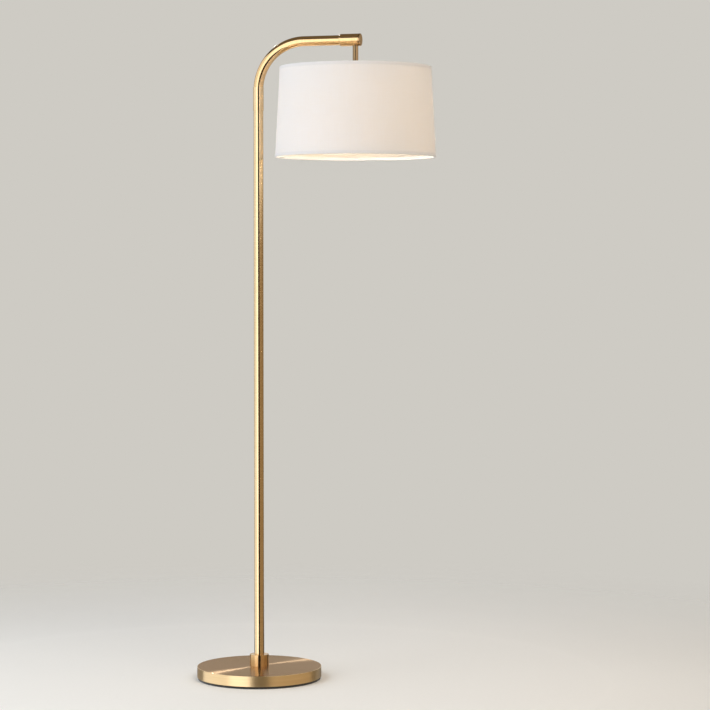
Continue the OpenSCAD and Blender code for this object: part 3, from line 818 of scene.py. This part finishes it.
class LAMP_OT_shade(bpy.types.Operator):
    """Builds the linen, its styrene lining and the folded trims"""
    bl_idname = "lamp.shade"
    bl_label = "Shade"

    def execute(self, context):
        turns = 2 * looks().turns
        axis = upright(STEM_X)
        bottom, top = low("shade_fabric").z, high("shade_fabric").z
        trim_low, trim_high = low("shade_bottom_trim").z, high("shade_top_trim").z
        fabric_t, liner_t, trim_t, hem = 0.6 * MM, 0.5 * MM, 0.5 * MM, 4.6 * MM

        def lapped(reach, s, t):
            """The linen's two ends lap at the back, where it stands 0.35 mm prouder over 12 mm."""
            distance = np.abs((t - math.radians(128) + math.pi) % (2 * math.pi) - math.pi) * reach
            return reach + 0.35 * MM * np.clip((6.6 * MM - distance) / (0.6 * MM), 0, 1)

        def cone(z0, z1, depth_in, depth_out):
            return [(shade_r(z0) - depth_in, z0), (shade_r(z0) - depth_out, z0), (shade_r(z1) - depth_out, z1),
                    (shade_r(z1) - depth_in, z1)]

        linen_wall = divided(rounded(cone(bottom, top, fabric_t, 0), 0.15 * MM, steps=2), 12 * MM)
        fabric = turned("shade_linen", linen_wall, axis, 3 * turns, "linen", "head", "shade_fabric",
                        "white_linen", shape=lapped)
        lining_cone = cone(bottom, top, fabric_t + liner_t, fabric_t)
        lining_wall = divided(rounded(lining_cone, 0.1 * MM, steps=2), 12 * MM)
        turned("shade_lining", lining_wall, axis, turns, "styrene lining", "head", "shade_liner",
               "shade_lining")
        folds = (("top_trim_folded", "shade_top_trim", low("shade_top_trim").z, trim_high),
                 ("bottom_trim_folded", "shade_bottom_trim", high("shade_bottom_trim").z, trim_low))
        for name, node, far, near in folds:
            fold = near - trim_t if near > far else near + trim_t
            far_r, near_r, fold_r = shade_r(far), shade_r(near), shade_r(fold)
            corners = [(far_r, far), (far_r + trim_t, far), (near_r + trim_t, near), (near_r - hem, near),
                       (far_r - hem, far), (far_r - hem + trim_t, far), (fold_r - hem + trim_t, fold),
                       (fold_r, fold)]
            radii = np.array([0.1, 0.2, 0.45, 0.6, 0.2, 0.1, 0.2, 0.1]) * MM
            # The trims' darker linen is painted shade along the rims
            turned(name, rounded(corners, radii, steps=4), axis, turns, "trim linen", "head", node,
                                "white_linen")
        slant = math.hypot(top - bottom, shade_r(bottom) - shade_r(top))
        outer = shade_r(bottom) / SHADE_TAPER * math.sqrt(1 + SHADE_TAPER ** 2)
        sweep = 2 * math.pi * shade_r(bottom) / outer
        blank = (2 * outer * math.sin(sweep / 2), outer - (outer - slant) * math.cos(sweep / 2))
        area = sweep * (outer ** 2 - (outer - slant) ** 2) / 2
        return {"FINISHED"}


class LAMP_OT_shade_frame(bpy.types.Operator):
    """Builds the enamelled wire frame: the fitter ring, three spokes with rounded ends, and the two hoops"""
    bl_idname = "lamp.shade_frame"
    bl_label = "Shade frame"

    def execute(self, context):
        hoop_z = high("shade_frame").z - WIRE_R
        fitter_z = low("shade_frame").z
        inset = 2.6 * MM
        fitter = rounded(wall(fitter_z, fitter_z + 2 * MM, 19.7 * MM, 26 * MM), 0.4 * MM)
        hoop_r = shade_r(hoop_z) - inset
        shells = [carried(fitter, upright(STEM_X), looks().turns), hoop(hoop_r, hoop_z, WIRE_R)]
        start_r, start_z = 24 * MM, fitter_z + 1 * MM
        for angle in (90, 210, 330):
            c, s = math.cos(math.radians(angle)), math.sin(math.radians(angle))
            inner = (STEM_X + start_r * c, start_r * s, start_z)
            outer = (STEM_X + hoop_r * c, hoop_r * s, hoop_z)
            length = math.dist(inner, outer)
            rod = rounded(wall(0, length, 0, SPOKE_R), [0, 0.6 * MM, 0.6 * MM, 0], closed=False)
            spoke = divided(rod, 20 * MM, closed=False)
            shells.append(carried(spoke, straight(inner, outer), 24, closed=False))
        build("shade_wire_frame", shells, finish("white enamel"), "head", ["shade_frame"])
        wire_z = middle("shade_bottom_wire").z
        build("shade_bottom_hoop", [hoop(shade_r(wire_z) - inset, wire_z, WIRE_R)], finish("white enamel"),
              "head", ["shade_bottom_wire"])
        return {"FINISHED"}


class LAMP_OT_bulb(bpy.types.Operator):
    """Builds the opal bulb and its threaded cap"""
    bl_idname = "lamp.bulb"
    bl_label = "Bulb"

    def execute(self, context):
        axis = upright(STEM_X)
        bottom, neck_z = low("bulb_glass").z, high("bulb_glass").z
        r, neck = (high("bulb_glass").x - low("bulb_glass").x) / 2, 12.6 * MM

        def side(inset, count=40):
            """Half round up to the middle, then a neck that narrows on a cosine."""
            a = np.linspace(-math.pi / 2, 0, count)
            belly = r - inset
            k = np.linspace(0, 1, count)[1:]
            up = (neck - inset) + (belly - neck + inset) * (1 + np.cos(math.pi * k)) / 2
            return np.concatenate([np.stack([belly * np.cos(a), bottom + r + belly * np.sin(a)], 1),
                                   np.stack([up, bottom + r + (neck_z - bottom - r) * k], 1)])

        outline = np.concatenate([side(0), side(1 * MM)[::-1]])
        outline[0, 0] = outline[-1, 0] = 0
        turned("bulb_opal", outline, axis, 96, "opal glass", "head", "bulb_glass", "opal_glass", closed=False)
        start, tip = low("bulb_cap").z, high("bulb_cap").z
        r = (high("bulb_cap").x - low("bulb_cap").x) / 2
        thread_end, glass_end = tip - 6.8 * MM, tip - 2.8 * MM
        pitch = 3.6 * MM

        def threaded(reach, s, t):
            """A rolled thread: the radius falls by 0.9 mm on a cosine that climbs one pitch in each turn."""
            fade = np.clip((s - start - 3 * MM) / (2 * MM), 0, 1) * np.clip((thread_end - s) / (2 * MM), 0, 1)
            return reach - 0.45 * MM * fade * (1 - np.cos(2 * math.pi * s / pitch - t))

        tube = divided(rounded(wall(start, thread_end, 11.8 * MM, r), 0.3 * MM, steps=3), 0.4 * MM)
        corners = [(0, thread_end), (r - 0.4 * MM, thread_end), (5 * MM, glass_end), (0, glass_end)]
        insulator = rounded(corners, [0, 0.5 * MM, 0.5 * MM, 0], closed=False)
        contact = rounded(wall(glass_end, tip, 0, 4 * MM), [0, 0.3 * MM, 1.4 * MM, 0], closed=False)
        shells = [carried(tube, axis, 96, shape=threaded), carried(insulator, axis, 48, closed=False),
                  carried(contact, axis, 48, closed=False)]
        finishes = [finish(look) for look in ("bulb metal", "black glass", "bulb metal")]
        build("bulb_screw_cap", shells, finishes, "head", ["bulb_cap"])
        return {"FINISHED"}


INNER_FINISHES = {
    "cast iron": ["base_weight"],
    "zinc": ["base_plate", "base_nipple", "base_washer", "base_nut", "pole_foot", "pole_coupler_lower",
             "pole_coupler_upper", "swivel_spindle", "swivel_spring", "swivel_nut", "swivel_stop_pin",
             "collar_screw", "tilt_screw", "tilt_spring"],
    "brass": ["arm_plug", "arm_end_bush", "stem_nipple", "stem_nut", "socket_nipple", "socket_screw_shell",
              "socket_contact", "switch_shaft"],
    "sheath": ["lead_pole", "lead_arm", "lead_head"],
    "nylon": ["swivel_washer", "tilt_washer"],
}


class LAMP_OT_inner_parts(bpy.types.Operator):
    """Gives the inner solids, which keep their own shapes, their finishes"""
    bl_idname = "lamp.inner_parts"
    bl_label = "Inner parts"

    def execute(self, context):
        for name, nodes in INNER_FINISHES.items():
            for node in nodes:
                materials = NODES[node].data.materials
                materials.clear()
                materials.append(finish(name))
        return {"FINISHED"}


# Softboxes in a ring round the lamp: from and to which angle, seen from the lamp and measured from the camera's
# direction to its right, from and to which height in metres, how bright, and in what tint
SOFTBOXES = [
    (-54, -13, -1.2, 3.2, 1.85, (0.96, 0.98, 1.0)),
    (-122, -54, -1.2, 3.2, 1.15, (0.92, 0.97, 1.0)),
    (17, 50, 1.35, 3.2, 1.6, (1.0, 0.97, 0.93)),
    (50, 115, 1.35, 3.2, 1.35, (1.0, 0.92, 0.82)),
    (20, 112, -1.2, 1.3, 0.33, (1.0, 0.75, 0.45)),
]
RING_R = 2.7
# High lights for cloth and paper, which gloss does not see: angle, elevation, distance, side, brightness, tint
HIGH_LIGHTS = [(-60, 46, 3.3, 1.5, 4.4, (0.97, 0.985, 1.0)), (38, 50, 3.3, 1.4, 5.6, (1.0, 0.85, 0.67)),
               (168, 44, 3.3, 1.4, 2.6, (1.0, 0.98, 0.95))]
# Panels for the metal's gloss: (angle, distance, height, height that it faces), width, height, brightness and
# tint. They stand in for wall, floor and ceiling, and the last one draws a bright line across the base.
METAL_PANELS = [
    ("back_panel", (180, 2.3, 1.4, 1.4), 5.6, 3.4, 0.6, (1.0, 0.985, 0.96)),
    ("under_panel", (0, 0.0, -0.6, 1.0), 5.0, 5.0, 0.46, (1.0, 0.86, 0.62)),
    ("over_panel", (0, 0.0, 3.9, 1.0), 5.0, 5.0, 0.16, (1.0, 0.85, 0.62)),
    ("streak_light", (-166.2, 7.8, 4.5, 0.03), 0.15, 0.15, 850.0, (1.0, 0.95, 0.88)),
]
FLOOR_REACH, FADE_START, FADE_END = 2.4, 0.9, 2.3
FLOOR_COLOUR = (0.86, 0.86, 0.85)


def toward(angle):
    """Level direction at an angle from the camera's direction, seen from the lamp, positive to its right."""
    a = math.radians(CAMERA_TURN - 90 + angle)
    return Vector((math.cos(a), math.sin(a), 0))


class LAMP_OT_studio(bpy.types.Operator):
    """Sets up the plain floor, the softboxes, the high lights, the metal's panels and the pale room"""
    bl_idname = "lamp.studio"
    bl_label = "Studio"

    def execute(self, context):
        scene = context.scene
        scene.view_settings.view_transform = "Standard"
        scene.view_settings.look = "None"
        mesh = bpy.data.meshes.new("floor")
        signs = ((-1, -1), (1, -1), (1, 1), (-1, 1))
        mesh.from_pydata([(x * FLOOR_REACH, y * FLOOR_REACH, 0) for x, y in signs], [], [(0, 1, 2, 3)])
        mesh.materials.append(self.paper())
        ground = bpy.data.objects.new("floor", mesh)
        scene.collection.objects.link(ground)
        ground.visible_glossy = ground.visible_shadow = False  # metal sees the softboxes and panels instead
        for k, (start, end, z0, z1, bright, tint) in enumerate(SOFTBOXES):
            half, target = math.radians((end - start) / 2), Vector((0, 0, (z0 + z1) / 2))
            place = toward((start + end) / 2) * RING_R * math.cos(half) + target
            self.softbox(f"softbox_{k}", place, target, 2 * RING_R * math.sin(half), z1 - z0, bright, tint)
        for k, (angle, elevation, away, side, bright, tint) in enumerate(HIGH_LIGHTS):
            target, rise = Vector((0, 0, 1.0)), math.radians(elevation)
            place = target + (toward(angle) * math.cos(rise) + Vector((0, 0, math.sin(rise)))) * away
            self.softbox(f"high_light_{k}", place, target, side, side, bright, tint).visible_glossy = False
        for name, place, width, height, bright, tint in METAL_PANELS:
            away = toward(place[0]) * place[1] + Vector((0, 0, place[2]))
            panel = self.softbox(name, away, Vector((0, 0, place[3])), width, height, bright, tint)
            panel.visible_diffuse = panel.visible_transmission = name == "back_panel"
        world = bpy.data.worlds.new("room")
        world.use_nodes = True
        world.node_tree.nodes["Background"].inputs["Color"].default_value = (*looks().room_colour, 1)
        scene.world = world
        seen = world.cycles_visibility
        seen.diffuse = seen.glossy = seen.transmission = seen.scatter = False
        return {"FINISHED"}

    def softbox(self, name, place, target, width, height, bright, tint):
        """Area light of an even brightness: its power is brightness times pi times its area."""
        lamp = bpy.data.lights.new(name, "AREA")
        lamp.shape, lamp.size, lamp.size_y = "RECTANGLE", width, height
        lamp.color = tint
        lamp.energy = bright * looks().light * math.pi * width * height
        box = bpy.data.objects.new(name, lamp)
        box.location = place
        box.rotation_euler = (target - place).to_track_quat("-Z", "Y").to_euler()
        bpy.context.scene.collection.objects.link(box)
        return box

    def paper(self):
        """Matt pale floor that fades into the room away from the lamp, and is seen only from above."""
        p = Paint("floor paper")
        tooth = p.noise(p.place(120), detail=3)
        away = p.node("ShaderNodeVectorMath", {"operation": "LENGTH"}, {0: p.place(1)}, output=1)
        under = p.node("ShaderNodeNewGeometry", output="Backfacing")
        paper = p.surface(
            Base_Color=p.mix(p.limit(tooth, 0.3, 0.7, 0.0, 0.02), FLOOR_COLOUR, (0, 0, 0)), Roughness=0.95,
            Specular_IOR_Level=0.1, Normal=p.bump(tooth, 0.0004, 0.3))
        clear = p.node("ShaderNodeBsdfTransparent")
        shown = p.limit(away, FADE_START, FADE_END, 1.0, 0.0) * (1 - under)
        return p.finish(p.node("ShaderNodeMixShader", inputs={0: shown, 1: clear, 2: paper}))


class LAMP_PT_panel(bpy.types.Panel):
    """Lists the lamp's settings and its pieces"""
    bl_idname = "LAMP_PT_panel"
    bl_label = "Arm floor lamp"
    bl_space_type, bl_region_type, bl_category = "VIEW_3D", "UI", "Lamp"

    def draw(self, context):
        for name in LampLooks.__annotations__:
            self.layout.prop(context.scene.lamp_looks, name)
        for operator in PIECES:
            self.layout.operator(operator.bl_idname)


PIECES = [LAMP_OT_camera, LAMP_OT_base, LAMP_OT_hub, LAMP_OT_pole, LAMP_OT_arm, LAMP_OT_knuckle, LAMP_OT_stem,
          LAMP_OT_switch, LAMP_OT_shade, LAMP_OT_shade_frame, LAMP_OT_bulb, LAMP_OT_inner_parts, LAMP_OT_studio]


def register():
    for made in [LampLooks, *PIECES, LAMP_PT_panel]:
        bpy.utils.register_class(made)
    bpy.types.Scene.lamp_looks = PointerProperty(type=LampLooks)


def unregister():
    del bpy.types.Scene.lamp_looks
    for made in reversed([LampLooks, *PIECES, LAMP_PT_panel]):
        bpy.utils.unregister_class(made)


def main():
    register()
    for operator in PIECES:
        group, action = operator.bl_idname.split(".")
        getattr(getattr(bpy.ops, group), action)()


if __name__ == "__main__":
    main()
